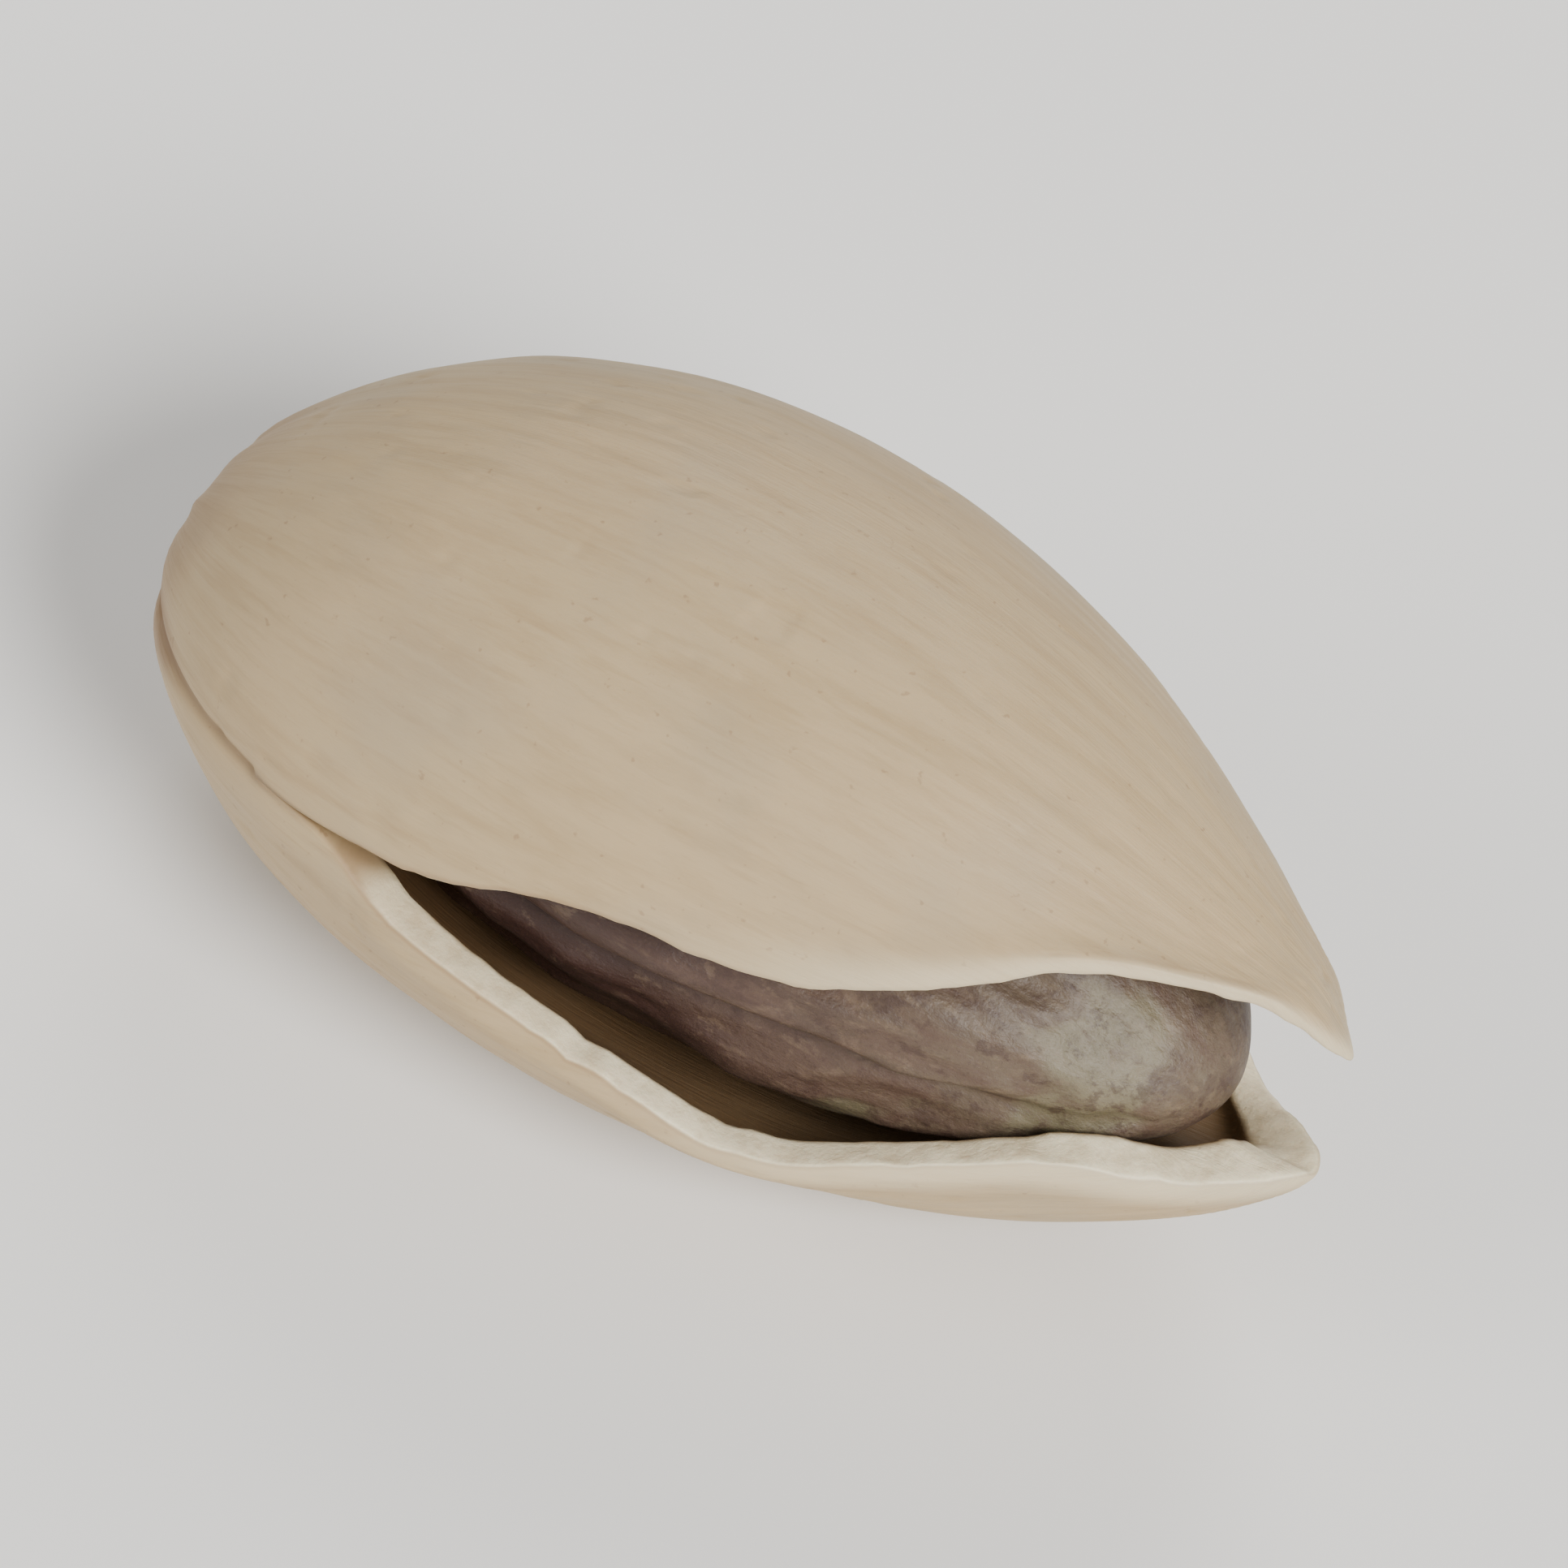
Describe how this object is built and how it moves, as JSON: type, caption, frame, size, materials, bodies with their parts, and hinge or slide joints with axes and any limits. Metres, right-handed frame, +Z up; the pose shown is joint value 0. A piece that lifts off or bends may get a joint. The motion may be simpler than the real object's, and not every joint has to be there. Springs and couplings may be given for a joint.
{
  "type": "pistachio nut in split shell",
  "caption": "Pistachio nut in its pale hard shell, which is split open from the tip and still joined at the stem end, with the loose kernel showing in the gap.",
  "frame": {"origin": "on the surface it rests on, under the middle of its box", "axes": "+Z up, +X along the nut from its stem end to its open tip, the wide side of the split faces -Y"},
  "size_m": [0.02, 0.0116, 0.0099],
  "materials": {
    "shell": "matt hard nutshell, fine lengthwise grain",
    "kernel": "satin seed skin, wrinkled, purple-brown over green"
  },
  "bodies": {
    "root": {"shell": "shell", "kernel": "kernel"}
  },
  "joints": []
}
